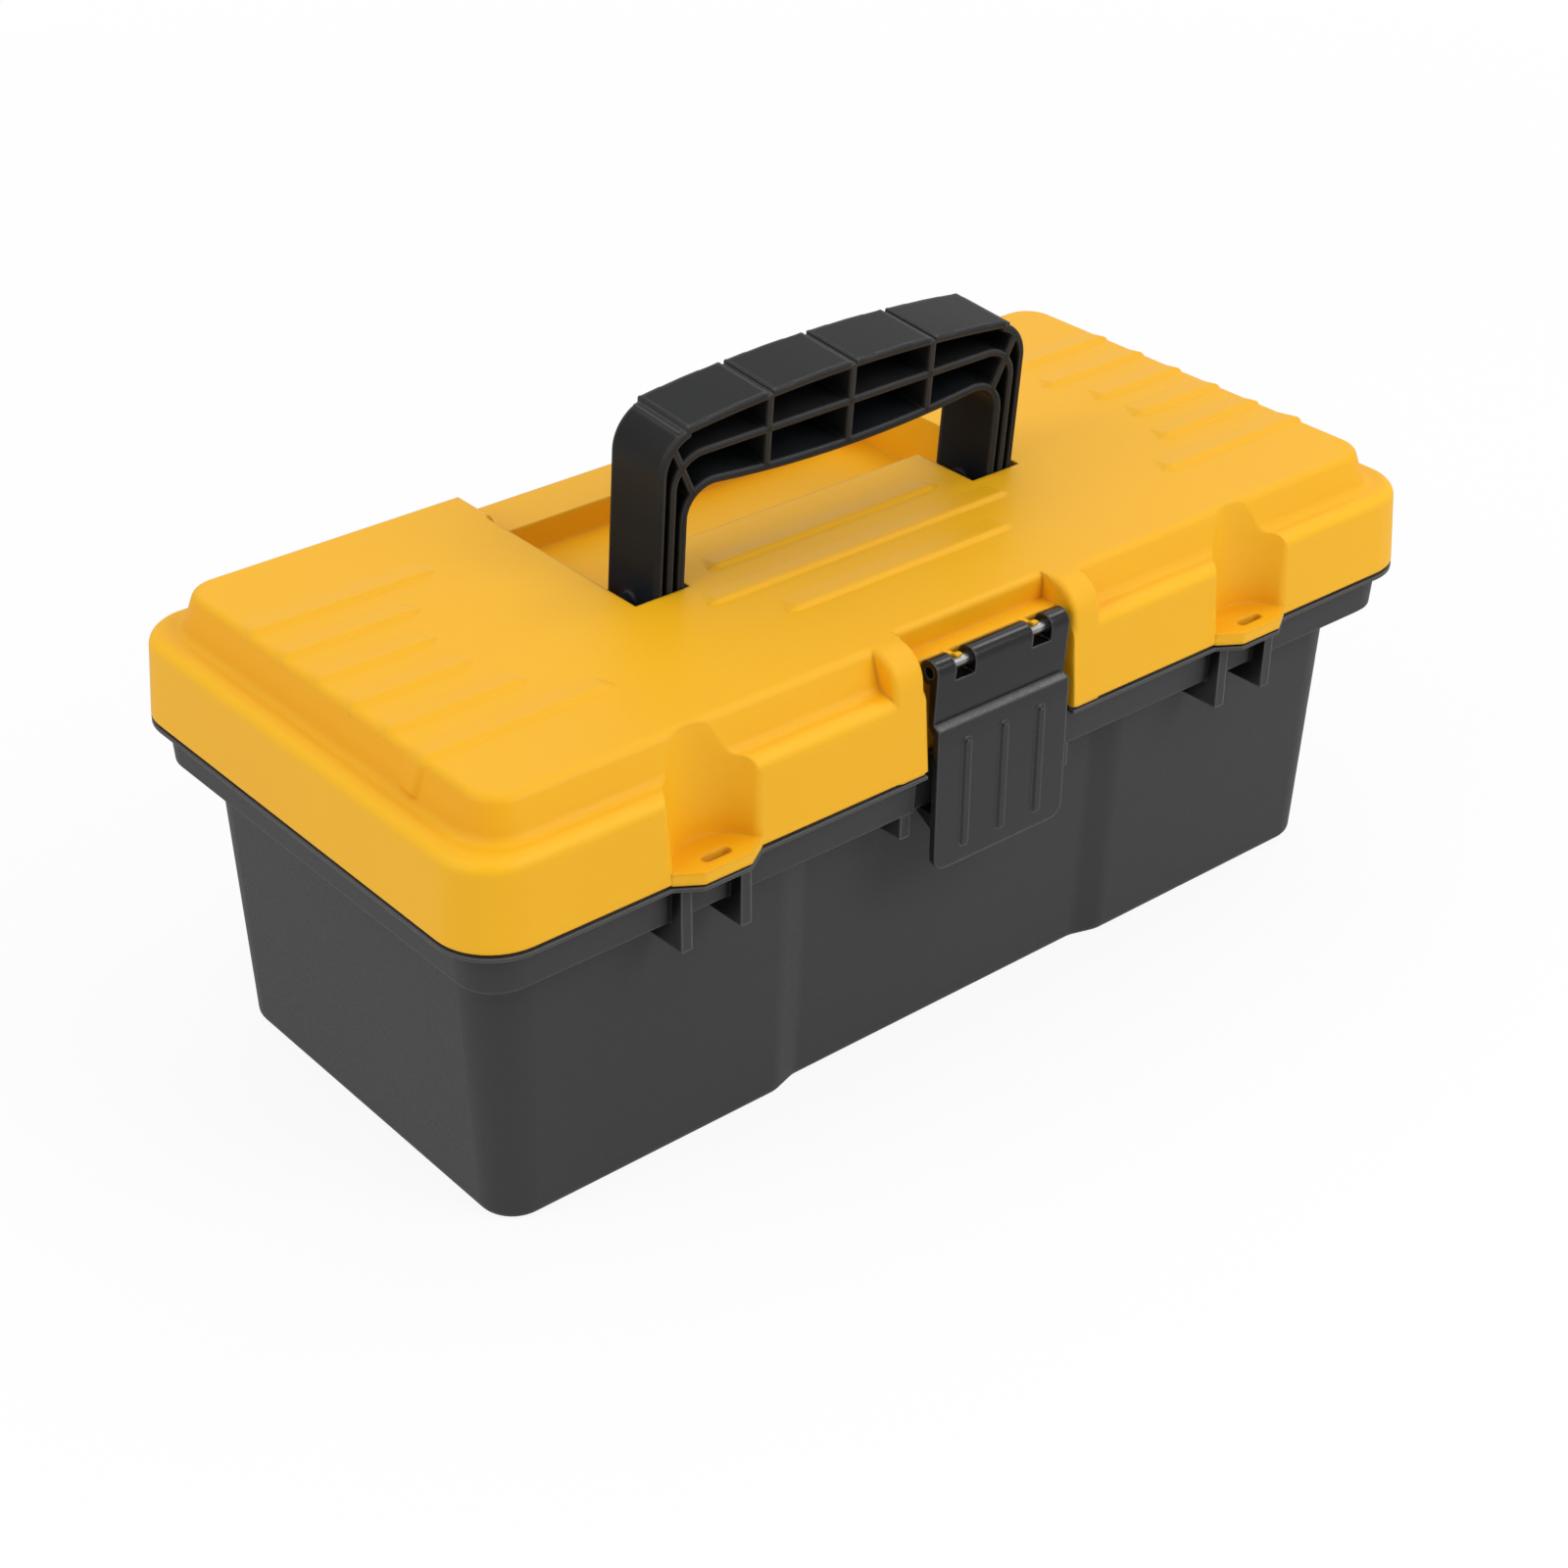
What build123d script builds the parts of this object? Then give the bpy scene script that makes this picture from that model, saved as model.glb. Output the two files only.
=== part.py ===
from build123d import *
from math import atan, cos, degrees, radians, sin, sqrt, tan
import os

os.makedirs("parts", exist_ok=True)

# Frame: origin on the floor under the middle of the box, X along its length,
# the latch side towards -Y, Z up. All sizes are in millimetres.

# Box as a whole
length = 320.0              # lid and lip at the parting line
width = 156.0
plan_radius = 16.0          # lid and lip corners, seen from above
tub_height = 93.0           # floor to parting line
wall = 2.2                  # moulded wall of lid and tub
running_gap = 0.05          # radial clearance of a pin in its bore

# Lid: a drafted band, a flat shoulder and a raised deck
band_height = 23.3
band_draft = 1.8            # how far the band draws in over its height
band_round = 4.0
parting_edge = 0.5          # chamfer of the lid's lower edge
shoulder_end = 9.2          # parting outline to the foot of the deck, at the ends
shoulder_side = 7.5         # the same at front and back
deck_radius = 12.0
deck_rise = 10.1
deck_draft = 3.5
deck_round = 2.5
deck_foot_round = 3.0

# Moulded ridges on the deck
rib_height = 0.9
rib_back = 7.0              # long slope behind each crest
rib_front = 1.5             # short slope in front of it
rib_crest = 0.5             # flat of the crest
rib_tail = 2.5              # length over which an end fades out
rib_fade = 0.15             # share of the section left at its tip
rib_pitch = 15.1
end_rib_count = 6
end_rib_middle = -3.6       # Y about which the end ridges are spread
end_rib_reach = 113.5       # X of the inner end of a ridge on that line
end_rib_bow = 45.0          # radius of the arc that their inner ends follow
centre_rib_first = -9.2     # Y of the rearmost ridge in front of the handle
centre_rib_spans = (39.0, 51.0, 38.0)

# Recess that the handle folds back into, and the wells of its legs
recess_gap = 0.3            # under the folded handle
recess_end_gap = 0.6        # behind its grip
recess_side_gap = 1.1       # beside it, at the recess floor
recess_draft = 1.0
recess_front = 9.5
recess_radius = 3.0
well_gap = 0.35             # in front of the upright legs
well_side_gap = 1.5         # between a leg and the inner side of its well
notch_depth = 7.4           # lowered rim behind the recess
notch_inset = 7.5           # its ends inside the recess
notch_flare = 9.4           # how much wider each end is at the deck
notch_skim = 0.3            # rounded ends run out this far above the deck

# Latch opening, with a cheek standing on each side of it
latch_opening = 25.25       # half width
latch_pocket_inset = 8.5    # wall behind the latch, inside the parting outline
latch_shelf_inset = 13.8    # wall above the shelf
latch_shelf_height = 26.6   # shelf above the parting line
latch_shelf_round = 1.6     # deck edge above it
cheek_outer = 35.0
cheek_round = 9.0
cheek_edge_round = 1.6

# Padlock eyes, on lid and tub alike
eye_x = 91.6
eye_reach = 4.2             # beyond the parting outline
eye_flat = 14.0             # outer edge
eye_foot = 27.0             # where the eye leaves the outline
eye_thickness = 3.0
eye_slot_length = 8.4
eye_slot_width = 2.6
eye_slot_inset = 0.7        # slot's middle inside the outline
scoop_radius = 13.2         # hollow above each eye, at its floor
scoop_depth = 9.2
scoop_round = 3.0           # where the hollow opens out of the band
scoop_skim = 0.02           # opening clear of the band's face

# Tub
base_inset_end = 14.75      # base inside the parting outline, at the ends
base_inset_side = 17.25     # the same at front and back
base_radius = 10.0
base_round = 3.0
tub_draft = 4.0             # how far a wall leans out over the tub's height
tub_floor = 2.6
panel_half = 55.0           # set-back middle panel of the front wall
panel_depth = 2.5
panel_slope = 8.0
panel_round = 9.0
lip_thickness = 1.8
shadow_gap = 0.8            # lip's outer part below the lid's edge
shadow_inset = 1.4          # seat of the lid inside the lip
skirt_inset = 4.0           # rim skirt inside the lip
skirt_height = 12.7
skirt_draft = 0.8
skirt_edge = 1.0
gusset_thickness = 3.2
gusset_spread = 9.0         # each side of a padlock eye
gusset_drop = 6.0           # below the skirt
gusset_inset = 0.5          # front edge of the eye gussets inside the lip
latch_gusset_inset = 0.3    # front edge of the latch gussets inside the skirt
latch_gusset_gap = 0.8      # gusset beyond the latch opening
catch_inset = 6.6           # face that the latch hooks under
catch_wall = 2.2

# Tray and the ledges that it rests on
tray_depth = 32.0
tray_gap = 3.0              # between its floor and the tub's walls
tray_radius = 8.0
tray_draft = 2.0
tray_wall = 1.8
tray_ledge_drop = 36.0      # tray's floor below the parting line
ledge_lap = 3.5             # ledge under the tray
ledge_width = 56.0
ledge_height = 13.0
divider_x = 48.0            # cross walls of the front half
bridge_half = 58.0          # carrying bridge in the tray's middle wall
bridge_rise = 9.0           # above the parting line
bridge_round = 14.0
bridge_wall = 3.0
grip_half = 40.0
grip_height = 19.0
grip_bar = 6.0
grip_round = 7.6

# Handle, upright and leaning on the front of its wells
handle_lean = 4.8           # degrees forward of upright
handle_float = 2.2          # side play, taken up towards +X
handle_outer = 61.2         # half span over the legs
leg_width = 9.0
handle_depth = 20.0
pivot_y = -2.5
pivot_drop = 4.9            # pivot below the deck
grip_top = 54.4             # above the pivot, at the middle
grip_fall = 3.3             # top of the grip at pad_half
pad_half = 54.0             # grip pads
pad_step = 0.9              # pads above the handle's back
pad_root = 4.0              # how deep the pads are set into it
pad_round = 0.6
cap_reach = 1.2             # second step beyond the outer pads
cap_fall = 1.2              # and below their tops
grip_under = 30.4           # underside above the pivot, at the middle
grip_under_rise = 3.9       # underside at the legs
handle_corner = 12.0
handle_inner_corner = 8.0
handle_edge = 1.0
leg_end = 8.6               # leg below the pivot
pocket_depth = 14.0
pocket_foot = 3.0           # lowest part of the pockets above the pivot
flange = 2.0
mid_rib_height = 43.0
mid_rib_x = 56.7
mid_rib_round = 9.0
handle_rib = 1.7
pad_count = 4
groove_width = 1.6
trunnion_radius = 2.4

# Latch and its pin
latch_half = 22.3
latch_axis_inset = 4.0      # axis inside the parting outline
latch_axis_height = 25.5    # above the parting line
barrel_radius = 3.4
latch_upper_front = 2.4     # upper panel's face in front of the axis
latch_plate = 2.0
latch_step = 2.0            # lower panel in front of the upper one
latch_step_height = 10.4
latch_drop = 30.4           # lower end below the parting line
latch_corner = 4.0
latch_rib_pitch = 12.6
latch_rib_width = 3.0
latch_rib_height = 1.0
latch_rib_taper = 35.0      # degrees that their sides lean in
latch_rib_top = 6.0
latch_rib_bottom = 26.0
hook_gap = 0.5              # under the catch
hook_lap = 1.2              # behind the catch's face
hook_thickness = 2.4
hook_inset = 1.0            # its ends inside the plate's
pin_radius = 1.5
pin_chamfer = 0.4
pin_inset = 2.0             # pin's ends inside the latch barrel
lug_x = 13.0
lug_half = 1.0
lug_gap = 0.6
lug_radius = 2.3
lug_tilt = 20.0             # degrees that its open side faces below the front
lug_arm_top = 1.15          # its arm above the pin's axis
window_half = 3.3           # latch window round each clip

# Rear hinges
hinge_end_inset = 65.0      # hinge's middle inside the parting outline
hinge_offset = 4.5          # axis behind the parting outline
knuckle_radius = 4.0
knuckle_half = 18.0
knuckle_share = 8.6         # half length of the lid's knuckle
knuckle_gap = 0.4
hinge_web = 7.0

# Levels, outlines and places worked out from the sizes above
parting = tub_height
shoulder_z = parting + band_height
deck_z = shoulder_z + deck_rise
deck_length = length - 2 * shoulder_end
deck_width = width - 2 * shoulder_side
pivot_z = deck_z - pivot_drop
recess_depth = pivot_drop + handle_depth / 2 + recess_gap
recess_z = deck_z - recess_depth
recess_back = pivot_y + grip_top + recess_end_gap
recess_half = handle_outer + handle_float + recess_side_gap
lean = radians(handle_lean)
well_front = handle_depth / 2 / cos(lean) + pivot_drop * tan(lean) + well_gap - pivot_y
well_inner = handle_outer - leg_width - handle_float - well_side_gap
well_outer = recess_half + recess_draft
notch_half = recess_half - notch_inset
latch_pocket_back = width / 2 - latch_pocket_inset
latch_shelf_back = width / 2 - latch_shelf_inset
latch_axis_y = -width / 2 + latch_axis_inset
latch_axis_z = parting + latch_axis_height
hinge_x = length / 2 - hinge_end_inset
hinge_y = width / 2 + hinge_offset
base_length = length - 2 * base_inset_end
base_width = width - 2 * base_inset_side
lean_out = tub_draft / tub_height
tray_z = parting - tray_ledge_drop
tray_length = base_length + 2 * (lean_out * tray_z - wall - tray_gap)
tray_width = base_width + 2 * (lean_out * tray_z - wall - panel_depth - tray_gap)
ledge_reach = tray_gap + ledge_lap
overshoot = 30.0            # length by which a cut runs past the surface
bite = 1.0                  # how deep a joined piece starts inside its neighbour


def drawn(sketch, z, height, inset):
    """Prism standing on z that draws in by inset over its height."""
    return extrude(Pos(0, 0, z) * sketch, amount=height, taper=degrees(atan(inset / height)))


def block(x0, x1, y0, y1, z0, z1):
    """Box between two corners."""
    return Pos((x0 + x1) / 2, (y0 + y1) / 2, (z0 + z1) / 2) * Box(x1 - x0, y1 - y0, z1 - z0)


def across(points, x0, x1):
    """Prism along X from a closed outline of (y, z) points."""
    face = make_face(Polyline(*points, close=True))
    return extrude(Plane.YZ.offset(x0) * face, amount=x1 - x0)


def rod(radius, x0, x1, y, z):
    """Round bar along X."""
    circle = Plane.YZ.offset(x0) * Pos(y, z) * Circle(radius)
    return extrude(circle, amount=x1 - x0)


def both_sides(shape):
    """A shape and its mirror image in the box's middle plane."""
    return shape + mirror(shape, Plane.YZ)


# Padlock eyes

def eye_outline():
    """Right-hand eye seen from above, starting inside the outline."""
    edge = -width / 2
    points = [
        (eye_x - eye_foot / 2, edge + bite + wall),
        (eye_x - eye_foot / 2, edge),
        (eye_x - eye_flat / 2, edge - eye_reach),
        (eye_x + eye_flat / 2, edge - eye_reach),
        (eye_x + eye_foot / 2, edge),
        (eye_x + eye_foot / 2, edge + bite + wall),
    ]
    return make_face(Polyline(*points, close=True))


def eye_slot(z):
    """Slot for the padlock's bow, right through lid and tub."""
    slot = Pos(eye_x, -width / 2 + eye_slot_inset, z) * SlotOverall(eye_slot_length, eye_slot_width)
    return extrude(slot, amount=overshoot, both=True)


def scoop(thickness):
    """Hollow above the right-hand eye, drafted like the band, or that hollow with a wall round it."""
    foot = parting + eye_thickness - thickness
    height = deck_z - foot
    slope = band_draft / band_height
    face = -width / 2 + slope * (foot - parting)
    radius = scoop_radius + thickness
    centre_y = -width / 2 + scoop_depth - scoop_radius
    half = radius + 2 * scoop_round
    sketch = Pos(eye_x, centre_y) * Circle(radius)
    sketch += Pos(eye_x, face - scoop_skim - radius) * Rectangle(2 * half, 2 * radius)
    mouths = sketch.vertices().filter_by(lambda v: abs(abs(v.X - eye_x) - half) > bite and v.Y > face - bite)
    if not thickness:
        sketch = fillet(mouths, scoop_round)
    return drawn(sketch, foot, height, -slope * height)


# Lid

def lid_body():
    """Outside of the lid with its rounded edges, before anything is cut from it."""
    band = drawn(RectangleRounded(length, width, plan_radius), parting, band_height, band_draft)
    band = fillet(band.faces().sort_by(Axis.Z)[-1].edges(), band_round)
    band = chamfer(band.faces().sort_by(Axis.Z)[0].edges(), parting_edge)
    sunk = deck_draft / deck_rise * bite
    foot = RectangleRounded(deck_length + 2 * sunk, deck_width + 2 * sunk, deck_radius + sunk)
    deck = drawn(foot, shoulder_z - bite, deck_rise + bite, deck_draft + sunk)
    deck = fillet(deck.faces().sort_by(Axis.Z)[-1].edges(), deck_round)
    body = band + deck
    return fillet(new_edges(band, deck, combined=body), deck_foot_round)


def cheek():
    """Right-hand cheek beside the latch, rounded over at its top."""
    front = -width / 2
    top_front = front + band_draft * (band_height + deck_rise) / band_height
    back = -deck_width / 2 + deck_draft + deck_round + cheek_round
    points = [(front, parting), (top_front, deck_z), (back, deck_z), (back, parting)]
    face = make_face(Polyline(*points, close=True))
    face = fillet(face.vertices().sort_by(lambda v: v.Y - v.X)[-1], cheek_round)
    solid = extrude(Plane.YZ.offset(latch_opening) * face, amount=cheek_outer - latch_opening)
    sides = solid.faces().filter_by(Axis.X).edges()
    rounded = sides.filter_by(lambda e: e.center().Y < back - bite and e.center().Z > parting + bite)
    return fillet(rounded, cheek_edge_round)


def rib_section(x, y, share):
    """Wedge-shaped section of a ridge at x, share of its full height high."""
    crest = rib_height * share
    points = [
        (y + rib_back * share, deck_z - bite),
        (y + rib_back * share, deck_z),
        (y + rib_crest / 2 * share, deck_z + crest),
        (y - rib_crest / 2 * share, deck_z + crest),
        (y - rib_front * share, deck_z),
        (y - rib_front * share, deck_z - bite),
    ]
    return Plane.YZ.offset(x) * make_face(Polyline(*points, close=True))


def rib_tip(y, x_fade, x_full):
    """End of a ridge, rising out of the deck."""
    return loft([rib_section(x_fade, y, rib_fade), rib_section(x_full, y, 1.0)])


def end_ribs():
    """Ridges of the right-hand end; the first runs down the end slope, the others sink into it."""
    edge = deck_length / 2 - deck_draft
    low = deck_foot_round / 2
    foot = deck_length / 2 - deck_draft / deck_rise * low
    ribs = Part()
    for i in range(end_rib_count):
        offset_y = (i - (end_rib_count - 1) / 2) * rib_pitch
        bow = end_rib_bow - sqrt(end_rib_bow ** 2 - offset_y ** 2)
        y = end_rib_middle + offset_y
        x_fade = end_rib_reach - bow
        x_full = x_fade + rib_tail
        path = FilletPolyline(
            (x_full, y, deck_z), (edge, y, deck_z), (edge if i else foot, y, shoulder_z + low),
            radius=deck_round)
        ribs += rib_tip(y, x_fade, x_full) + sweep(rib_section(x_full, y, 1.0), path=path)
    return ribs


def centre_ribs():
    """Ridges across the deck in front of the handle."""
    ribs = Part()
    for i, span in enumerate(centre_rib_spans):
        y = centre_rib_first - i * rib_pitch
        full = span - rib_tail
        ribs += both_sides(rib_tip(y, span, full))
        ribs += extrude(rib_section(-full, y, 1.0), amount=2 * full)
    return ribs


def notch_section(thickness):
    """Front view of the lowered rim, with its rounded ends."""
    low = deck_z - notch_depth - thickness
    high = deck_z + notch_skim - thickness
    half = notch_half + thickness
    top = half + notch_flare
    ends = []
    for side in (-1, 1):
        bend = (side * (half + notch_flare / 2), (low + high) / 2)
        ends.append(TangentArc((side * half, low), bend, tangent=(side, 0)))
        ends.append(TangentArc((side * top, high), bend, tangent=(-side, 0)))
    sky = Polyline((-top, high), (-top, deck_z + overshoot), (top, deck_z + overshoot), (top, high))
    return make_face([Line((-half, low), (half, low)), sky] + ends)


def recess_hollow(thickness):
    """Handle recess, its leg wells and the lowered rim, or the same with walls round them."""
    depth = recess_back - recess_front + 2 * thickness
    floor_sketch = RectangleRounded(2 * (recess_half + thickness), depth, recess_radius + thickness)
    floor_sketch = Pos(0, (recess_back + recess_front) / 2) * floor_sketch
    hollow = drawn(floor_sketch, recess_z - thickness, recess_depth + thickness, -recess_draft)
    hollow += extrude(Pos(0, 0, deck_z) * floor_sketch, amount=bite)
    well = block(
        well_inner - thickness, well_outer + thickness,
        -well_front - thickness, recess_front + recess_radius + bite,
        recess_z - thickness, deck_z + overshoot,
    )
    rim = Plane.XZ.offset(recess_radius - recess_back) * notch_section(thickness)
    return hollow + both_sides(well) + extrude(rim, amount=-(width / 2 - recess_back + overshoot))


def latch_hollow(thickness):
    """Opening that the latch lies in and the shelf above it."""
    half = latch_opening + thickness
    front = -width / 2 - overshoot
    channel = block(
        -half, half, front, -latch_pocket_back + thickness, parting - bite, deck_z + overshoot)
    shelf = block(
        -half, half, front, -latch_shelf_back + thickness,
        parting + latch_shelf_height - thickness, deck_z + overshoot)
    return channel + shelf


def lid_cavity():
    """Space inside the lid, kept clear of everything that hangs down into it."""
    inner = RectangleRounded(length - 2 * wall, width - 2 * wall, plan_radius - wall)
    slope = band_draft / band_height
    cavity = drawn(inner, parting, band_height - wall, slope * (band_height - wall))
    roof = RectangleRounded(deck_length - 2 * wall, deck_width - 2 * wall, deck_radius - wall)
    deck_slope = deck_draft / deck_rise
    cavity += drawn(roof, shoulder_z - wall - bite, deck_rise + bite, deck_slope * (deck_rise + bite))
    return cavity - recess_hollow(wall) - latch_hollow(wall) - both_sides(scoop(wall))


def pin_lug():
    """Right-hand clip that cups the latch pin from above and behind."""
    back = -latch_pocket_back + bite
    arm = block(
        lug_x - lug_half, lug_x + lug_half, latch_axis_y, back,
        latch_axis_z - lug_radius, latch_axis_z + lug_arm_top)
    clip = arm + rod(lug_radius, lug_x - lug_half, lug_x + lug_half, latch_axis_y, latch_axis_z)
    mouth = block(lug_x - lug_half, lug_x + lug_half, -overshoot, 0, -overshoot, overshoot)
    return clip - Pos(0, latch_axis_y, latch_axis_z) * Rot(lug_tilt, 0, 0) * mouth


def lid_knuckle():
    """Middle knuckle of the right-hand hinge with the web that carries it."""
    x0 = hinge_x - knuckle_share
    x1 = hinge_x + knuckle_share
    web = block(x0, x1, width / 2 - wall, hinge_y, parting, parting + hinge_web)
    top = across(
        [(hinge_y, parting + knuckle_radius), (hinge_y, parting + hinge_web + bite),
         (hinge_y - hinge_offset, parting + hinge_web + bite)], x0, x1)
    return web - top + rod(knuckle_radius, x0, x1, hinge_y, parting)


def make_lid():
    """Yellow shell with its recess, cheeks, eyes, ridges, clips and hinge knuckles."""
    eye = extrude(Pos(0, 0, parting) * eye_outline(), amount=eye_thickness)
    body = lid_body() - latch_hollow(0)
    brow = body.edges().filter_by(Axis.X).sort_by_distance((0, -latch_shelf_back, deck_z))[0]
    body = fillet(brow, latch_shelf_round)
    body += both_sides(cheek() + eye)
    body -= both_sides(scoop(0))
    body += both_sides(end_ribs()) + centre_ribs()
    body -= recess_hollow(0)
    lid = body - lid_cavity()
    lid += both_sides(pin_lug()) + both_sides(lid_knuckle())
    bores = rod(pin_radius + running_gap, -latch_half, latch_half, latch_axis_y, latch_axis_z)
    bores += rod(pin_radius + running_gap, -length / 2, length / 2, hinge_y, parting)
    bores += rod(
        trunnion_radius + running_gap, -well_outer - 2 * wall, well_outer + 2 * wall, pivot_y, pivot_z)
    return lid - bores - both_sides(eye_slot(parting))


# Tub

def tub_outline(inset):
    """Plan of the tub at its floor, with the set-back middle of its front wall."""
    plan = RectangleRounded(base_length, base_width, base_radius)
    edge = -base_width / 2
    slope = panel_slope / 2
    points = [
        (-panel_half - slope, edge - bite),
        (-panel_half - slope, edge),
        (-panel_half + slope, edge + panel_depth),
        (panel_half - slope, edge + panel_depth),
        (panel_half + slope, edge),
        (panel_half + slope, edge - bite),
    ]
    plan -= make_face(Polyline(*points, close=True))
    steps = plan.vertices().filter_by(
        lambda v: abs(abs(v.X) - panel_half) < panel_slope and v.Y < 0)
    plan = fillet(steps, panel_round)
    return offset(plan, -inset, kind=Kind.INTERSECTION) if inset else plan


def skirt(inset):
    """Rim skirt under the lip, filled in, its faces moved in by inset."""
    top = skirt_inset + inset
    foot = top + skirt_draft
    sketch = RectangleRounded(length - 2 * foot, width - 2 * foot, plan_radius - foot)
    return drawn(sketch, parting - lip_thickness - skirt_height, skirt_height, -skirt_draft)


def gusset(x, inset):
    """Plate between the wall and the front of the rim."""
    return block(
        x - gusset_thickness / 2, x + gusset_thickness / 2,
        -width / 2 + inset, -base_width / 2 + panel_depth,
        parting - lip_thickness - skirt_height - gusset_drop, parting - lip_thickness + bite)


def tub_knuckles():
    """Outer knuckles of the right-hand hinge on their webs."""
    knuckles = Part()
    for side in (-1, 1):
        inner = hinge_x + side * (knuckle_share + knuckle_gap)
        outer = hinge_x + side * knuckle_half
        x0 = min(inner, outer)
        x1 = max(inner, outer)
        web = [
            (width / 2 - skirt_inset - wall, parting),
            (hinge_y, parting),
            (hinge_y + knuckle_radius, parting),
            (hinge_y + knuckle_radius * cos(radians(45)), parting - knuckle_radius * sin(radians(45))),
            (width / 2 - skirt_inset - wall, parting - hinge_web - hinge_offset),
        ]
        knuckles += across(web, x0, x1) + rod(knuckle_radius, x0, x1, hinge_y, parting)
    return knuckles


def tray_ledge():
    """Wedge-shaped ledge on the right-hand end wall."""
    top = tray_z
    face = base_length / 2 + lean_out * top - wall
    points = [
        (face - ledge_reach, top),
        (face + wall / 2, top),
        (face + wall / 2, top - ledge_height - bite),
        (face - lean_out * ledge_height, top - ledge_height),
        (face - ledge_reach, top - bite),
    ]
    profile = Plane.XZ * make_face(Polyline(*points, close=True))
    return extrude(profile, amount=ledge_width / 2, both=True)


def make_tub():
    """Open tub with its flanged rim, gussets, catch, hinge knuckles and tray ledges."""
    walls = drawn(tub_outline(0), 0, tub_height, -tub_draft)
    walls = fillet(walls.faces().sort_by(Axis.Z)[0].edges(), base_round)
    rim = chamfer(skirt(0).faces().sort_by(Axis.Z)[0].edges(), skirt_edge) - skirt(wall)
    lip = RectangleRounded(length, width, plan_radius) + both_sides(eye_outline())
    seat = RectangleRounded(length - 2 * shadow_inset, width - 2 * shadow_inset, plan_radius - shadow_inset)
    rim += extrude(Pos(0, 0, parting - lip_thickness) * lip, amount=lip_thickness - shadow_gap)
    rim += extrude(Pos(0, 0, parting - lip_thickness) * seat, amount=lip_thickness)

    half = latch_opening
    face = -width / 2 + catch_inset
    foot = parting - lip_thickness - skirt_height
    rim -= block(-half, half, -width / 2 - overshoot, face, foot - bite, parting + bite)
    rim += block(-half, half, face, face + catch_wall, foot, parting - lip_thickness + bite)

    beside_latch = latch_opening + latch_gusset_gap + gusset_thickness / 2
    plates = gusset(beside_latch, skirt_inset + skirt_draft + latch_gusset_inset)
    for side in (-1, 1):
        plates += gusset(eye_x + side * gusset_spread, gusset_inset)
    tub = walls + rim + both_sides(plates) + both_sides(tub_knuckles())

    inside = tub_outline(wall - lean_out * tub_floor)
    rise = tub_height - tub_floor + bite
    tub -= drawn(inside, tub_floor, rise, -lean_out * rise)
    tub += both_sides(tray_ledge())
    tub -= rod(pin_radius + running_gap, -length / 2, length / 2, hinge_y, parting)
    return tub - both_sides(eye_slot(parting))


# Tray

def make_tray():
    """Lift-out tray with a carrying bridge in its middle wall."""
    plan = RectangleRounded(tray_length, tray_width, tray_radius)
    draft = tray_draft / tray_depth
    inset = tray_wall - draft * tray_wall
    inner = RectangleRounded(tray_length - 2 * inset, tray_width - 2 * inset, tray_radius - inset)
    outside = drawn(plan, tray_z, tray_depth, -tray_draft)
    rise = tray_depth - tray_wall
    hollow = drawn(inner, tray_z + tray_wall, rise, -draft * rise)
    tray = outside - hollow

    low = tray_z + tray_wall / 2
    top = tray_z + tray_depth
    reach = tray_length / 2 + tray_draft
    walls = block(-reach, reach, -tray_wall / 2, tray_wall / 2, low, top - tray_draft)
    for x in (-divider_x, divider_x):
        walls += block(
            x - tray_wall / 2, x + tray_wall / 2, -tray_width / 2 - tray_draft, 0, low, top - tray_draft)
    tray += walls & outside

    crown = parting + bridge_rise
    bridge = Pos(0, (crown + low) / 2) * RectangleRounded(2 * bridge_half, crown - low, bridge_round)
    bridge += Pos(0, (low + top) / 2) * Rectangle(2 * bridge_half, top - low)
    grip = RectangleRounded(2 * grip_half, grip_height, grip_round)
    grip = Pos(0, crown - grip_bar - grip_height / 2) * grip
    bridge -= grip
    window = extrude(Plane.XZ * grip, amount=bridge_wall, both=True)
    return tray - window + extrude(Plane.XZ * bridge, amount=bridge_wall / 2, both=True)


# Handle

def grip_profile(half, fall):
    """Front view of the handle's outside, its top lowered by fall."""
    top = grip_top - fall
    radius = (pad_half ** 2 + grip_fall ** 2) / (2 * grip_fall)
    side = top - radius + sqrt(radius ** 2 - half ** 2)
    arch = ThreePointArc((-half, side), (0, top), (half, side))
    frame = Polyline((half, side), (half, -leg_end), (-half, -leg_end), (-half, side))
    return make_face([arch, frame])


def finger_gap(grow):
    """Front view of the space under the grip."""
    half = handle_outer - leg_width + grow
    low = grip_under + grow
    corner = low + grip_under_rise
    arch = ThreePointArc((-half, corner), (0, low), (half, corner))
    foot = -leg_end - overshoot
    frame = Polyline((half, corner), (half, foot), (-half, foot), (-half, corner))
    face = make_face([arch, frame])
    tops = face.vertices().group_by(Axis.Y)[-1]
    return fillet(tops, handle_inner_corner + grow)


def mid_rib():
    """Front view of the rib that follows the middle of the handle."""
    bands = []
    for step in (handle_rib / 2, -handle_rib / 2):
        half = mid_rib_x + step
        top = mid_rib_height + step
        sketch = Pos(0, (top - leg_end - overshoot) / 2) * Rectangle(2 * half, top + leg_end + overshoot)
        bands.append(fillet(sketch.vertices().group_by(Axis.Y)[-1], mid_rib_round + step))
    return bands[0] - bands[1]


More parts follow.
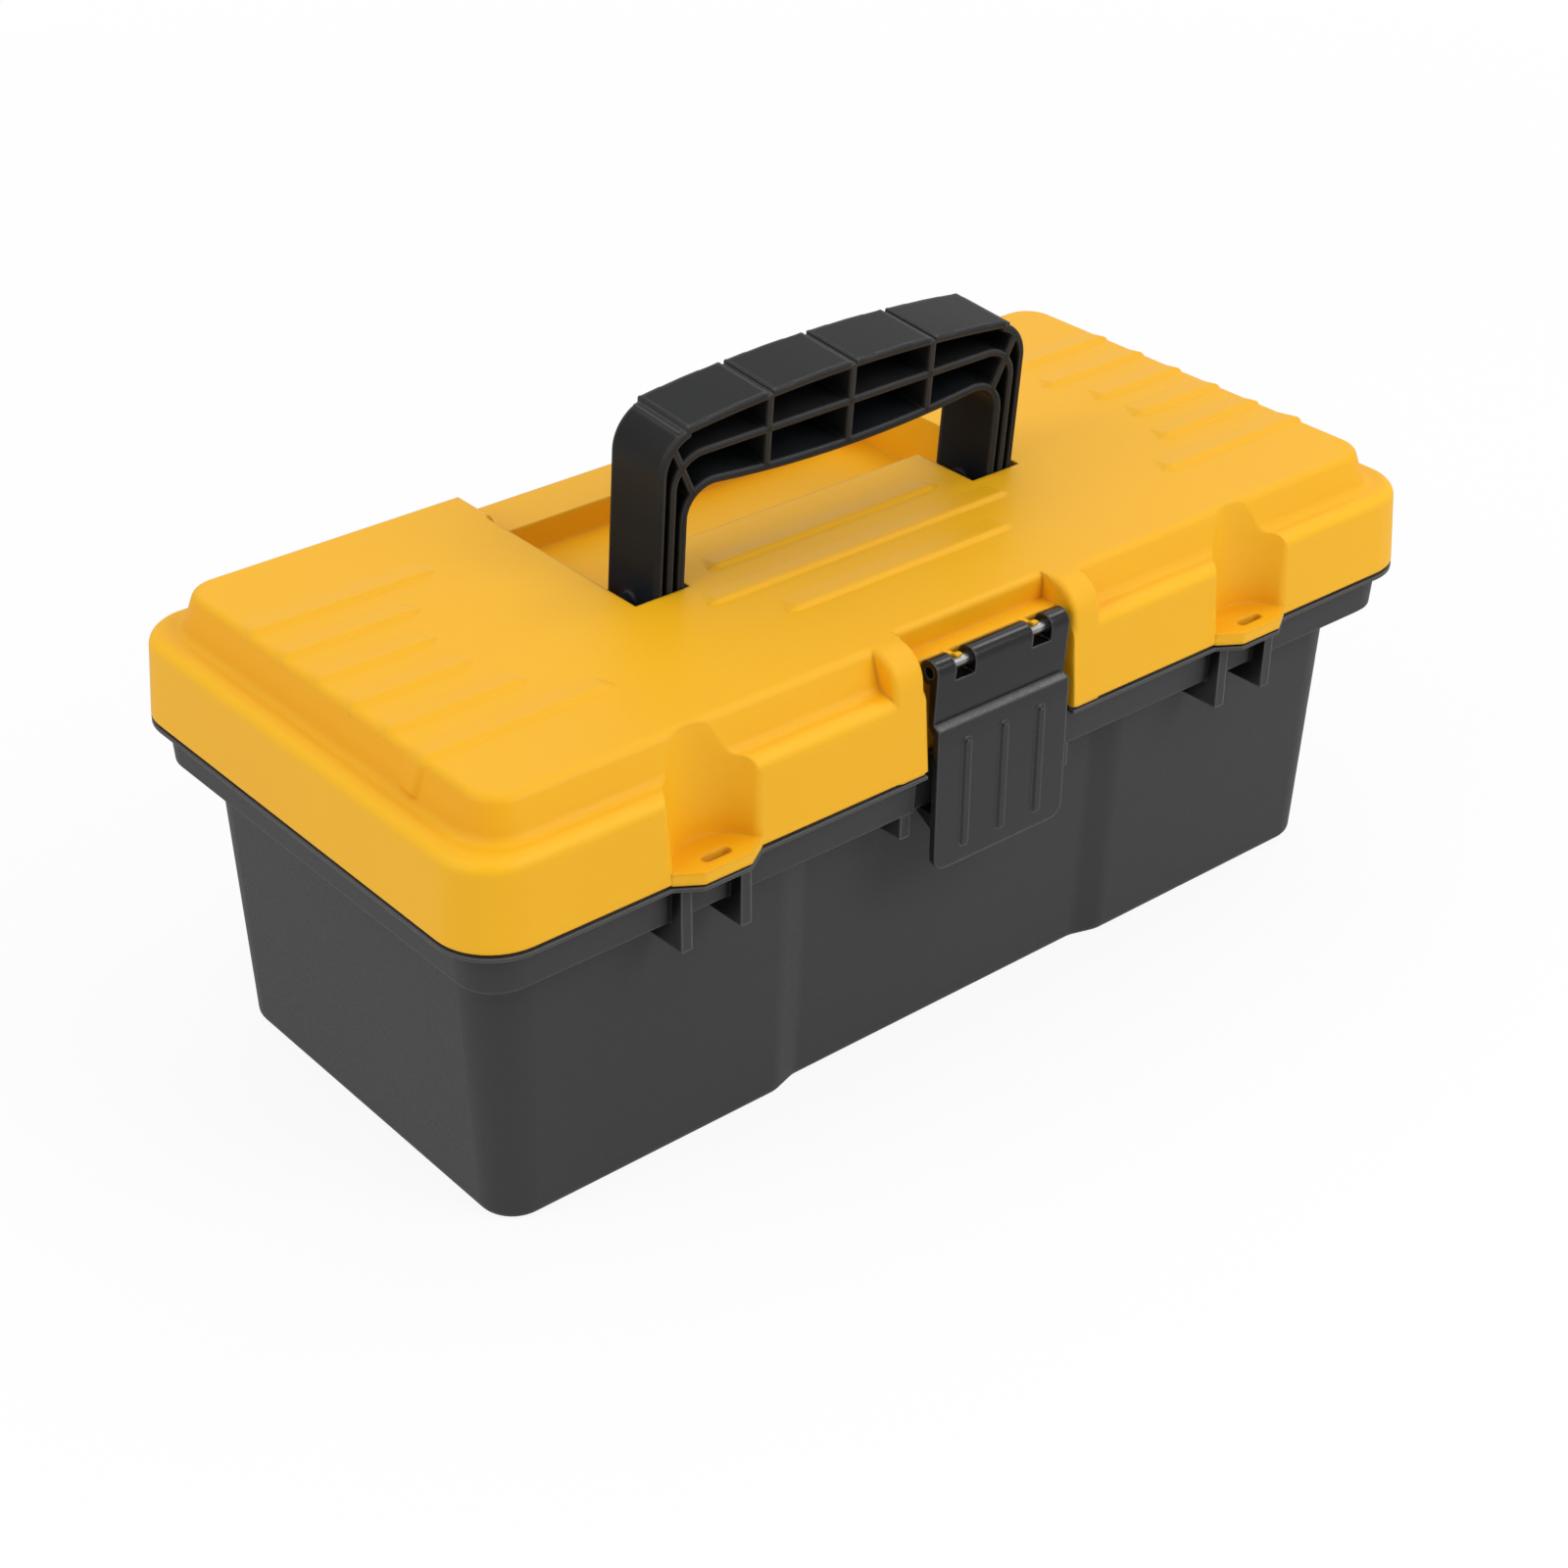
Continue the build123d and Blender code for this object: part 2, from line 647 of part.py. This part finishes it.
def pocket_plan(outline):
    """Front view of the pockets between the handle's flanges and ribs."""
    plan = offset(outline, -flange, kind=Kind.INTERSECTION) - finger_gap(flange) - mid_rib()
    pad = 2 * pad_half / pad_count
    tall = 2 * grip_top
    for i in range(1, pad_count):
        plan -= Pos(-pad_half + i * pad, 0) * Rectangle(handle_rib, 2 * tall)
    sagitta = 1 - cos(radians(45))
    inner = (handle_outer - leg_width - handle_inner_corner * sagitta, grip_under)
    outer_set = handle_corner * sagitta
    outer = (handle_outer - outer_set, grip_top - grip_fall - outer_set)
    run = sqrt((outer[0] - inner[0]) ** 2 + (outer[1] - inner[1]) ** 2)
    angle = degrees(atan((outer[1] - inner[1]) / (outer[0] - inner[0])))
    strut = Rot(0, 0, angle) * Rectangle(2 * run, handle_rib)
    strut = Pos((inner[0] + outer[0]) / 2, (inner[1] + outer[1]) / 2) * strut
    plan -= both_sides(strut)
    below = Pos(0, pocket_foot - tall) * Rectangle(4 * handle_outer, 2 * tall)
    return plan - below


def upright(sketch, y0, y1):
    """Prism from a front view of the handle, between two depths."""
    return extrude(Plane.XZ.offset(-y0) * sketch, amount=-(y1 - y0))


def make_handle():
    """Bail with an open ribbed front, grip pads and a trunnion on each leg."""
    outline = grip_profile(handle_outer, pad_step)
    corners = outline.vertices().group_by(Axis.Y)[-1]
    outline = fillet(corners, handle_corner)
    front = -handle_depth / 2
    handle = upright(outline, front, -front)
    rims = handle.faces().filter_by(Axis.Y).edges()
    handle = fillet(rims.filter_by(lambda e: e.center().Z > bite - leg_end), handle_edge)

    crown = Pos(0, grip_top) * Rectangle(2 * handle_outer, 2 * (grip_fall + pad_root))
    cap = grip_profile(pad_half + cap_reach, cap_fall) & crown
    handle += upright(cap, front + handle_edge, -front - handle_edge)
    grip = grip_profile(pad_half, 0) & crown
    pad = 2 * pad_half / pad_count
    for i in range(pad_count):
        strip = Pos((i + 0.5) * pad - pad_half, 0) * Rectangle(pad - groove_width, 4 * grip_top)
        piece = upright(grip & strip, front, -front)
        handle += fillet(piece.faces().sort_by(Axis.Z)[-1].edges(), pad_round)
    handle -= upright(finger_gap(0), front - bite, -front + bite)
    handle -= upright(pocket_plan(outline + grip), front - bite, front + pocket_depth)

    span = 2 * handle_outer
    tip = rod(handle_depth / 2, -span, span, 0, 0) + block(
        -span, span, front, -front, 0, grip_top + overshoot)
    handle &= tip
    trunnion = rod(
        trunnion_radius, well_inner - wall - handle_float, well_outer + wall + handle_float, 0, 0)
    handle += both_sides(trunnion)
    return Pos(handle_float, pivot_y, pivot_z) * Rot(handle_lean, 0, 0) * handle


# Latch

def make_latch():
    """Hinged latch plate with a barrel in three parts, grip ribs and a hook behind it."""
    upper = latch_axis_y - latch_upper_front
    lower = upper - latch_step
    step = parting + latch_step_height
    foot = parting - latch_drop
    plate = [
        (latch_axis_y - barrel_radius, latch_axis_z),
        (upper, step + latch_step / 2),
        (lower, step),
        (lower, foot),
        (lower + latch_plate, foot + latch_plate / 2),
        (lower + latch_plate, step - latch_plate),
        (upper + latch_plate, step),
        (upper + latch_plate, latch_axis_z),
    ]
    latch = across(plate, -latch_half, latch_half)
    tall = latch_axis_z + overshoot - foot
    front_view = Pos(0, foot + tall / 2) * RectangleRounded(2 * latch_half, tall, latch_corner)
    latch &= extrude(Plane.XZ * front_view, amount=width, both=True)
    latch += rod(barrel_radius, -latch_half, latch_half, latch_axis_y, latch_axis_z)

    hook_top = parting - lip_thickness - skirt_height - hook_gap
    tip = -width / 2 + catch_inset + hook_lap
    hook = [
        (lower + latch_plate - bite, hook_top),
        (tip, hook_top),
        (tip, hook_top - hook_thickness / 2),
        (lower + latch_plate, hook_top - 2 * hook_thickness),
        (lower + latch_plate - bite, hook_top - 2 * hook_thickness),
    ]
    latch += across(hook, hook_inset - latch_half, latch_half - hook_inset)
    bar = SlotOverall(latch_rib_top + latch_rib_bottom, latch_rib_width, rotation=90)
    height = parting + (latch_rib_top - latch_rib_bottom) / 2
    for i in (-1, 0, 1):
        front_bar = Plane.XZ.offset(-lower) * Pos(i * latch_rib_pitch, height) * bar
        latch += extrude(front_bar, amount=latch_rib_height, taper=latch_rib_taper)

    room = lug_radius + lug_gap
    window = block(
        lug_x - window_half, lug_x + window_half, upper - overshoot, latch_axis_y + overshoot,
        latch_axis_z - room, latch_axis_z + overshoot)
    latch -= both_sides(window)
    return latch - rod(pin_radius + running_gap, -latch_half, latch_half, latch_axis_y, latch_axis_z)


def steel_pin(x0, x1, y, z):
    """Pin along X with a small chamfer at each end."""
    pin = rod(pin_radius, x0, x1, y, z)
    ends = pin.edges().filter_by(GeomType.CIRCLE)
    return chamfer(ends, pin_chamfer)


pin_end = knuckle_half - bite
export_step(make_tub(), "parts/tub.step")
export_step(make_lid(), "parts/lid.step")
export_step(make_tray(), "parts/tray.step")
export_step(make_handle(), "parts/handle.step")
export_step(make_latch(), "parts/latch.step")
latch_pin_half = latch_half - pin_inset
export_step(
    steel_pin(-latch_pin_half, latch_pin_half, latch_axis_y, latch_axis_z), "parts/latch_pin.step")
for side, name in ((-1, "hinge_pin_left"), (1, "hinge_pin_right")):
    middle = side * hinge_x
    export_step(steel_pin(middle - pin_end, middle + pin_end, hinge_y, parting), f"parts/{name}.step")
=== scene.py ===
import math
import bpy
from mathutils import Matrix, Vector


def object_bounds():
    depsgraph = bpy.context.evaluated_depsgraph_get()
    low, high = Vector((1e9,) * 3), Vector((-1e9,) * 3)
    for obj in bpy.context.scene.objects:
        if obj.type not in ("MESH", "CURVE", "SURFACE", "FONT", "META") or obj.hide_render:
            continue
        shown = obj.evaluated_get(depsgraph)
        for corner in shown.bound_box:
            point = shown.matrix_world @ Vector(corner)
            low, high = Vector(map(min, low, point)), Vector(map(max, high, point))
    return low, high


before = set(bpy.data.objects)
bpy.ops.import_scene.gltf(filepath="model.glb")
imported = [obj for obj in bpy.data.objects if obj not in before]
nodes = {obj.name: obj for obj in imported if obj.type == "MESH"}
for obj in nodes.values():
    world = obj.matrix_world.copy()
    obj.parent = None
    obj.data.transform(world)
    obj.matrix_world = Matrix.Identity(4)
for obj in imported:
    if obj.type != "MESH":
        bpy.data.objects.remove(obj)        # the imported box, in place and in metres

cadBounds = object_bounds()
scene = bpy.context.scene
scene.view_settings.view_transform = "Standard"
boxMiddle = (cadBounds[0] + cadBounds[1]) / 2
print("frame loaded:", ", ".join(sorted(nodes)))


# colours, as opaque red, green and blue

def paint(red, green, blue):
    return (red, green, blue, 1.0)


def grey(tone):
    return paint(tone, tone, tone)


white = grey(1.0)


# small helpers for the shader trees

def emptyTree(owner):
    owner.use_nodes = True
    owner.node_tree.nodes.clear()
    return owner.node_tree


def addNode(tree, kind, inputs=None, **settings):
    node = tree.nodes.new(kind)
    for key, value in settings.items():
        setattr(node, key, value)
    for key, value in (inputs or {}).items():
        if isinstance(value, bpy.types.NodeSocket):
            tree.links.new(value, node.inputs[key])
        else:
            node.inputs[key].default_value = value
    return node


def startMaterial(name):
    material = bpy.data.materials.new(name)
    tree = emptyTree(material)
    shader = addNode(tree, "ShaderNodeBsdfPrincipled")
    addNode(tree, "ShaderNodeOutputMaterial", {"Surface": shader.outputs["BSDF"]})
    return material, tree, shader


def noiseField(tree, place, size, detail):
    noise = addNode(tree, "ShaderNodeTexNoise", {"Vector": place, "Scale": 1.0 / size, "Detail": detail})
    return noise.outputs["Fac"]


def rangeOf(tree, value, fromLow, fromHigh, toLow, toHigh):
    spread = addNode(tree, "ShaderNodeMapRange", {
        "Value": value, "From Min": fromLow, "From Max": fromHigh, "To Min": toLow, "To Max": toHigh})
    return spread.outputs["Result"]


def mixColour(tree, share, first, second):
    mix = addNode(tree, "ShaderNodeMix", {0: share, 6: first, 7: second}, data_type="RGBA")
    return mix.outputs[2]


def mathOf(tree, operation, first, second):
    return addNode(tree, "ShaderNodeMath", {0: first, 1: second}, operation=operation).outputs[0]


def sumOf(tree, first, second):
    return mathOf(tree, "ADD", first, second)


def productOf(tree, first, *factors):
    result = first
    for factor in factors:
        result = mathOf(tree, "MULTIPLY", result, factor)
    return result


def likeness(tree, first, second):       # 1 where two directions agree
    dot = addNode(tree, "ShaderNodeVectorMath", {0: first, 1: second}, operation="DOT_PRODUCT")
    return dot.outputs["Value"]


# moulded plastic: slow drift of tone, spark-eroded grain, softened edges with a painted highlight, painted
# shade in nooks, and painted highlight and shade in belts and by height

skin = {
    "flowDetail": 3.0, "grainDetail": 2.0, "peelDetail": 1.0,
    "noiseSpan": (0.3, 0.7),             # where nearly all of a noise lies
    "edgeSamples": 6, "nookSamples": 16,
    # sideToTop: the painted edge highlight grows with upward lean
    "sideToTop": (0.2, 0.7),             # upward lean, from a side's edges to a top's
    "frontToEnd": (0.2, 0.8),            # endwise lean, from the long faces to the ends
    "grainSheen": 0.05, "flowSheen": 0.03,
    "ior": 1.49,
}


# where a belt of painted light lies, by slant, height and endwise lean
def beltMask(tree, belt, lean, height, endwise):
    return productOf(
        tree,
        rangeOf(tree, lean, *belt["flat"], 0.0, 1.0),
        rangeOf(tree, lean, *belt["steep"], 0.0, 1.0),
        rangeOf(tree, height, *belt["above"], 0.0, 1.0),
        rangeOf(tree, endwise, *skin["frontToEnd"], belt["frontShare"], 1.0),
        rangeOf(tree, height, *belt["below"], 0.0, belt["share"]))


def mouldedPlastic(name, look):
    material, tree, shader = startMaterial(name)
    spot = addNode(tree, "ShaderNodeTexCoord")
    place = spot.outputs["Object"]
    height = addNode(tree, "ShaderNodeSeparateXYZ", {"Vector": place}).outputs["Z"]
    facing = addNode(tree, "ShaderNodeSeparateXYZ", {"Vector": spot.outputs["Normal"]})
    lean = facing.outputs["Z"]
    endwise = addNode(tree, "ShaderNodeMath", {0: facing.outputs["X"]}, operation="ABSOLUTE").outputs[0]
    flow = noiseField(tree, place, look["flowSize"], skin["flowDetail"])
    grain = noiseField(tree, place, look["grainSize"], skin["grainDetail"])
    peel = noiseField(tree, place, look["peelSize"], skin["peelDetail"])      # waviness of the cooled skin

    # an edge is where the rounded normal leaves the true one; its paler colour is a painted highlight,
    # fullest on edges of faces that look up
    rounded = addNode(tree, "ShaderNodeBevel", {"Radius": look["edgeRadius"]}, samples=skin["edgeSamples"])
    sharp = addNode(tree, "ShaderNodeNewGeometry")
    bend = likeness(tree, rounded.outputs["Normal"], sharp.outputs["Normal"])
    edge = productOf(
        tree,
        rangeOf(tree, bend, look["edgeFrom"], look["edgeTo"], 0.0, look["edgeShare"]),
        rangeOf(tree, lean, *skin["sideToTop"], look["edgeSide"], 1.0))

    tint = mixColour(tree, rangeOf(tree, flow, *skin["noiseSpan"], 0.0, 1.0), look["deep"], look["colour"])
    # painted shade by height: one end of the piece darker
    if "paintedShade" in look:                                          # a darker end, blended by height
        paintedShade = look["paintedShade"]
        clear = rangeOf(tree, height, paintedShade["full"], paintedShade["none"], 0.0, 1.0)
        tint = mixColour(tree, clear, paintedShade["colour"], tint)
    # paler edges: painted highlight
    tint = mixColour(tree, edge, tint, look["edge"])
    # belts: painted highlight and painted shade on slanted faces between two heights
    for belt in look.get("paintedLightBelts", []):                           # slanted skin between two heights
        tint = mixColour(tree, beltMask(tree, belt, lean, height, endwise), tint, belt["colour"])
    # painted shade: darker colour where the piece's own surfaces close in
    nookShade = addNode(tree, "ShaderNodeAmbientOcclusion", {
        "Distance": look["nookReach"]}, samples=skin["nookSamples"], only_local=True)
    nookShadeMask = rangeOf(tree, nookShade.outputs["AO"], look["nookOpen"], look["nookShut"], 0.0, look["nookShare"])
    tint = mixColour(tree, nookShadeMask, tint, look["nookShade"])
    tree.links.new(tint, shader.inputs["Base Color"])

    rough = look["roughness"]
    for field, swing in ((grain, skin["grainSheen"]), (flow, skin["flowSheen"])):
        rough = sumOf(tree, rangeOf(tree, field, *skin["noiseSpan"], -swing, swing), rough)
    tree.links.new(rough, shader.inputs["Roughness"])

    relief = sumOf(tree, productOf(tree, peel, look["peelShare"]), grain)
    bump = addNode(tree, "ShaderNodeBump", {
        "Strength": look["grainStrength"], "Distance": look["grainDepth"],
        "Height": relief, "Normal": rounded.outputs["Normal"]})
    tree.links.new(bump.outputs["Normal"], shader.inputs["Normal"])
    shader.inputs["IOR"].default_value = skin["ior"]
    shader.inputs["Specular IOR Level"].default_value = look["gloss"]
    return material


# one look for each piece: sizes and heights in metres, shares from 0 to 1

shoulderHeight = 0.1163
deckHeight = 0.1264
lidLook = {
    "colour": paint(0.87, 0.445, 0.007), "deep": paint(0.85, 0.425, 0.006), "flowSize": 0.09,
    "roughness": 0.50, "gloss": 0.30,
    # edge: painted highlight along the edges
    "edge": paint(0.92, 0.51, 0.02), "edgeRadius": 0.0014,
    "edgeFrom": 0.99, "edgeTo": 0.80, "edgeShare": 0.35, "edgeSide": 1.0,
    # nook: painted shade in creases and recesses, a deeper orange
    "nookShade": paint(0.85, 0.38, 0.002), "nookReach": 0.012,
    "nookOpen": 0.90, "nookShut": 0.35, "nookShare": 0.8,
    "grainSize": 0.0005, "grainStrength": 0.25, "grainDepth": 0.00003, "peelSize": 0.006, "peelShare": 0.8,
    # belts: painted highlight on the band's rounded top, painted shade on the deck's slopes
    "paintedLightBelts": [
        # painted highlight, a brighter yellow
        {   # rounded top of the band
            "colour": paint(0.97, 0.52, 0.006), "share": 0.6, "frontShare": 0.7,
            "flat": (0.99, 0.80), "steep": (0.15, 0.55),
            "above": (0.100, 0.101),
            "below": (shoulderHeight + 0.0006, shoulderHeight),
        },
        # painted shade, a deeper orange, mostly on the end slopes
        {   # slopes of the deck
            "colour": paint(0.87, 0.375, 0.001), "share": 0.6, "frontShare": 0.1,
            "flat": (0.97, 0.60), "steep": (0.12, 0.26),
            "above": (shoulderHeight + 0.0001, shoulderHeight + 0.0009),
            "below": (deckHeight - 0.0002, deckHeight - 0.0016),
        },
    ],
}
lidPlastic = mouldedPlastic("lidPlastic", lidLook)

tubLook = {
    "colour": grey(0.046), "deep": grey(0.041), "flowSize": 0.08,
    "roughness": 0.48, "gloss": 0.20,
    # edge: painted highlight along the edges
    "edge": grey(0.17), "edgeRadius": 0.0011,
    "edgeFrom": 0.99, "edgeTo": 0.82, "edgeShare": 0.8, "edgeSide": 1.0,
    # nook: painted shade, near black in creases and under the rim
    "nookShade": grey(0.002), "nookReach": 0.020,
    "nookOpen": 0.66, "nookShut": 0.53, "nookShare": 0.97,
    "grainSize": 0.0007, "grainStrength": 0.5, "grainDepth": 0.00005, "peelSize": 0.006, "peelShare": 0.6,
}
tubPlastic = mouldedPlastic("tubPlastic", tubLook)

# the tray keeps the tub's painted edge highlight and, at a smaller share, its painted nook shade
trayLook = dict(tubLook, colour=paint(0.036, 0.036, 0.037), roughness=0.46, nookShare=0.5)
trayPlastic = mouldedPlastic("trayPlastic", trayLook)

handleLook = {
    "colour": paint(0.0245, 0.025, 0.0255), "deep": paint(0.0205, 0.021, 0.0215), "flowSize": 0.05,
    "roughness": 0.32, "gloss": 0.045,
    # edge: painted highlight along the edges, weaker on side faces
    "edge": paint(0.135, 0.136, 0.138), "edgeRadius": 0.0020,
    "edgeFrom": 0.992, "edgeTo": 0.88, "edgeShare": 0.9, "edgeSide": 0.38,
    # nook: painted shade in the pockets
    "nookShade": grey(0.003), "nookReach": 0.012,
    "nookOpen": 0.75, "nookShut": 0.25, "nookShare": 0.7,
    "grainSize": 0.0006, "grainStrength": 0.02, "grainDepth": 0.00004, "peelSize": 0.005, "peelShare": 0.8,
    # legs: painted shade, darker and cooler, offsetting the deck's yellow light on them
    "paintedShade": {"full": 0.146, "none": 0.164, "colour": paint(0.0115, 0.0155, 0.021)},      # the legs
}
handlePlastic = mouldedPlastic("handlePlastic", handleLook)

latchLook = dict(
    handleLook, colour=paint(0.017, 0.017, 0.0175), deep=paint(0.015, 0.015, 0.0155),
    roughness=0.20, gloss=0.45,
    # edge: painted highlight along the edges
    edge=grey(0.10), edgeRadius=0.0009, edgeFrom=0.99, edgeTo=0.80, edgeShare=0.8, edgeSide=1.0,
    # nook: painted shade over a short reach
    nookReach=0.004, nookShare=0.6, grainStrength=0.05, peelShare=0.4,
    # barrel: painted shade, darker towards its top
    paintedShade={"full": 0.110, "none": 0.096, "colour": paint(0.004, 0.004, 0.0042)})          # the barrel
latchPlastic = mouldedPlastic("latchPlastic", latchLook)


# drawn steel wire: fine lines along the wire and a dull bloom

steelLook = {
    "colour": paint(0.38, 0.38, 0.37), "dull": paint(0.25, 0.25, 0.245), "roughness": 0.36,
    "stretch": (0.02, 1.0, 1.0), "lineSize": 0.00025, "lineDetail": 2.0, "lineSpan": (0.3, 0.7),
    "lineSheen": 0.08, "lineStrength": 0.3, "lineDepth": 0.00001,
    "bloomSize": 0.004, "bloomDetail": 2.0, "bloomSpan": (0.35, 0.65),
}


def drawnSteel(name, look):
    material, tree, shader = startMaterial(name)
    place = addNode(tree, "ShaderNodeTexCoord").outputs["Object"]
    along = addNode(tree, "ShaderNodeMapping", {"Vector": place, "Scale": look["stretch"]})
    lines = noiseField(tree, along.outputs["Vector"], look["lineSize"], look["lineDetail"])
    bloom = noiseField(tree, place, look["bloomSize"], look["bloomDetail"])
    tint = mixColour(tree, rangeOf(tree, bloom, *look["bloomSpan"], 0.0, 1.0), look["dull"], look["colour"])
    tree.links.new(tint, shader.inputs["Base Color"])
    sheen = rangeOf(tree, lines, *look["lineSpan"], -look["lineSheen"], look["lineSheen"])
    tree.links.new(sumOf(tree, sheen, look["roughness"]), shader.inputs["Roughness"])
    bump = addNode(tree, "ShaderNodeBump", {
        "Strength": look["lineStrength"], "Distance": look["lineDepth"], "Height": lines})
    tree.links.new(bump.outputs["Normal"], shader.inputs["Normal"])
    shader.inputs["Metallic"].default_value = 1.0
    return material


pinSteel = drawnSteel("pinSteel", steelLook)

nodeFinish = {
    "lid": lidPlastic, "tub": tubPlastic, "tray": trayPlastic, "handle": handlePlastic, "latch": latchPlastic,
    "latch_pin": pinSteel, "hinge_pin_left": pinSteel, "hinge_pin_right": pinSteel,
}
for nodeName, finish in nodeFinish.items():
    mesh = nodes[nodeName].data
    mesh.materials.clear()
    mesh.materials.append(finish)
print("finishes on", len(nodeFinish), "pieces")


# floor, white to the eye but still holding the shadow

floorLook = {
    "size": 8.0,
    "tone": grey(0.90),
    "glow": 0.90,                      # share of plain white near the box
    "fade": (0.25, 1.1),               # metres over which the glow grows to all white, so no horizon shows
    "mirrored": 0.70,
}


def floorMaterial(look):
    material = bpy.data.materials.new("paleFloor")
    tree = emptyTree(material)
    matt = addNode(tree, "ShaderNodeBsdfDiffuse", {"Color": look["tone"]})
    plain = addNode(tree, "ShaderNodeEmission", {"Color": white, "Strength": 1.0})
    dim = addNode(tree, "ShaderNodeEmission", {"Color": white, "Strength": look["mirrored"]})
    path = addNode(tree, "ShaderNodeLightPath")
    place = addNode(tree, "ShaderNodeTexCoord").outputs["Object"]
    away = addNode(tree, "ShaderNodeVectorMath", {0: place}, operation="LENGTH").outputs["Value"]
    bright = rangeOf(tree, away, *look["fade"], look["glow"], 1.0)
    seen = addNode(tree, "ShaderNodeMixShader", {
        0: productOf(tree, path.outputs["Is Camera Ray"], bright),
        1: matt.outputs["BSDF"], 2: plain.outputs["Emission"]})
    both = addNode(tree, "ShaderNodeMixShader", {
        0: path.outputs["Is Glossy Ray"], 1: seen.outputs["Shader"], 2: dim.outputs["Emission"]})
    addNode(tree, "ShaderNodeOutputMaterial", {"Surface": both.outputs["Shader"]})
    return material


bpy.ops.object.select_all(action="DESELECT")
bpy.ops.mesh.primitive_plane_add(size=floorLook["size"], location=(0.0, 0.0, cadBounds[0].z))
floor = bpy.context.object
floor.name = "floor"
floor.data.materials.append(floorMaterial(floorLook))


# soft studio light

worldLook = {
    "tone": white, "strength": 0.66,
    "dipAt": (-0.61, -0.71, 0.35), "dipSpan": (0.60, 0.92), "dip": 0.35,        # less fill on the near corner
    "mirrored": 0.66,
    "leftSpan": (-0.35, -0.75), "leftShare": 0.30,                              # darker mirrored left
    "glowAt": (0.55, 0.66, 0.51), "glowSpan": (0.70, 0.97), "glow": 0.45,       # mirrored patch, back right
}
lamps = {
    "keyPanel": {"place": (0.40, -1.00, 0.95), "size": 0.7, "power": 7.0},
    "sidePanel": {"place": (-1.02, 0.10, 0.78), "size": 0.7, "power": 4.0},
    "topPanel": {"place": (0.25, 0.45, 1.30), "size": 0.9, "power": 1.3},
    "rimStrip": {"place": (0.72, -0.10, 1.12), "size": 0.35, "power": 1.6},
}


def lightWorld(look):
    world = bpy.data.worlds.new("studio")
    scene.world = world
    tree = emptyTree(world)
    path = addNode(tree, "ShaderNodeLightPath")
    heading = addNode(tree, "ShaderNodeTexCoord").outputs["Generated"]
    side = addNode(tree, "ShaderNodeSeparateXYZ", {"Vector": heading}).outputs["X"]
    shine = rangeOf(tree, side, *look["leftSpan"], look["mirrored"], look["mirrored"] * look["leftShare"])
    near = likeness(tree, heading, look["glowAt"])
    shine = sumOf(tree, shine, rangeOf(tree, near, *look["glowSpan"], 0.0, look["glow"]))
    front = likeness(tree, heading, look["dipAt"])
    fill = rangeOf(tree, front, *look["dipSpan"], look["strength"], look["strength"] * (1.0 - look["dip"]))
    level = rangeOf(tree, path.outputs["Is Glossy Ray"], 0.0, 1.0, fill, shine)
    level = mathOf(tree, "MAXIMUM", level, path.outputs["Is Camera Ray"])       # plain white to the eye
    sky = addNode(tree, "ShaderNodeBackground", {"Color": look["tone"], "Strength": level})
    addNode(tree, "ShaderNodeOutputWorld", {"Surface": sky.outputs["Background"]})


def hangLamp(name, look):
    bpy.ops.object.light_add(type="AREA", location=look["place"])
    lamp = bpy.context.object
    lamp.name = name
    lamp.data.shape = "SQUARE"
    lamp.data.size = look["size"]
    lamp.data.energy = look["power"]
    aim = boxMiddle - Vector(look["place"])
    lamp.rotation_euler = aim.to_track_quat("-Z", "Y").to_euler()


lightWorld(worldLook)
for lampName, lampLook in lamps.items():
    hangLamp(lampName, lampLook)
print("light set:", len(lamps), "panels")


# camera, worked out from the photograph's straight edges

cameraLook = {
    "azimuth": -40.08,                 # degrees, 0 looks along +Y
    "elevation": 31.40,
    "roll": 0.36,
    "distance": 0.7975,
    "aim": (-0.00595, 0.0, 0.04563),
    "focalPixels": 2945.75,
    "framePixels": 1600,
    "sensor": 36.0,                    # millimetres
    "nearest": 0.01,
}


def placeCamera(look):
    turn = math.radians(look["azimuth"])
    tilt = math.radians(look["elevation"])
    roll = math.radians(look["roll"])
    back = Vector((math.sin(turn) * math.cos(tilt), -math.cos(turn) * math.cos(tilt), math.sin(tilt)))
    flatRight = Vector((math.cos(turn), math.sin(turn), 0.0))
    flatUp = back.cross(flatRight)
    right = flatRight * math.cos(roll) + flatUp * math.sin(roll)
    up = flatUp * math.cos(roll) - flatRight * math.sin(roll)
    bpy.ops.object.camera_add()
    camera = bpy.context.object
    camera.name = "camera"
    stand = Matrix((right, up, back)).transposed().to_4x4()
    stand.translation = Vector(look["aim"]) + back * look["distance"]
    camera.matrix_world = stand
    camera.data.sensor_width = look["sensor"]
    camera.data.lens = look["focalPixels"] / look["framePixels"] * look["sensor"]
    camera.data.clip_start = look["nearest"]
    scene.camera = camera


placeCamera(cameraLook)
print("camera placed")
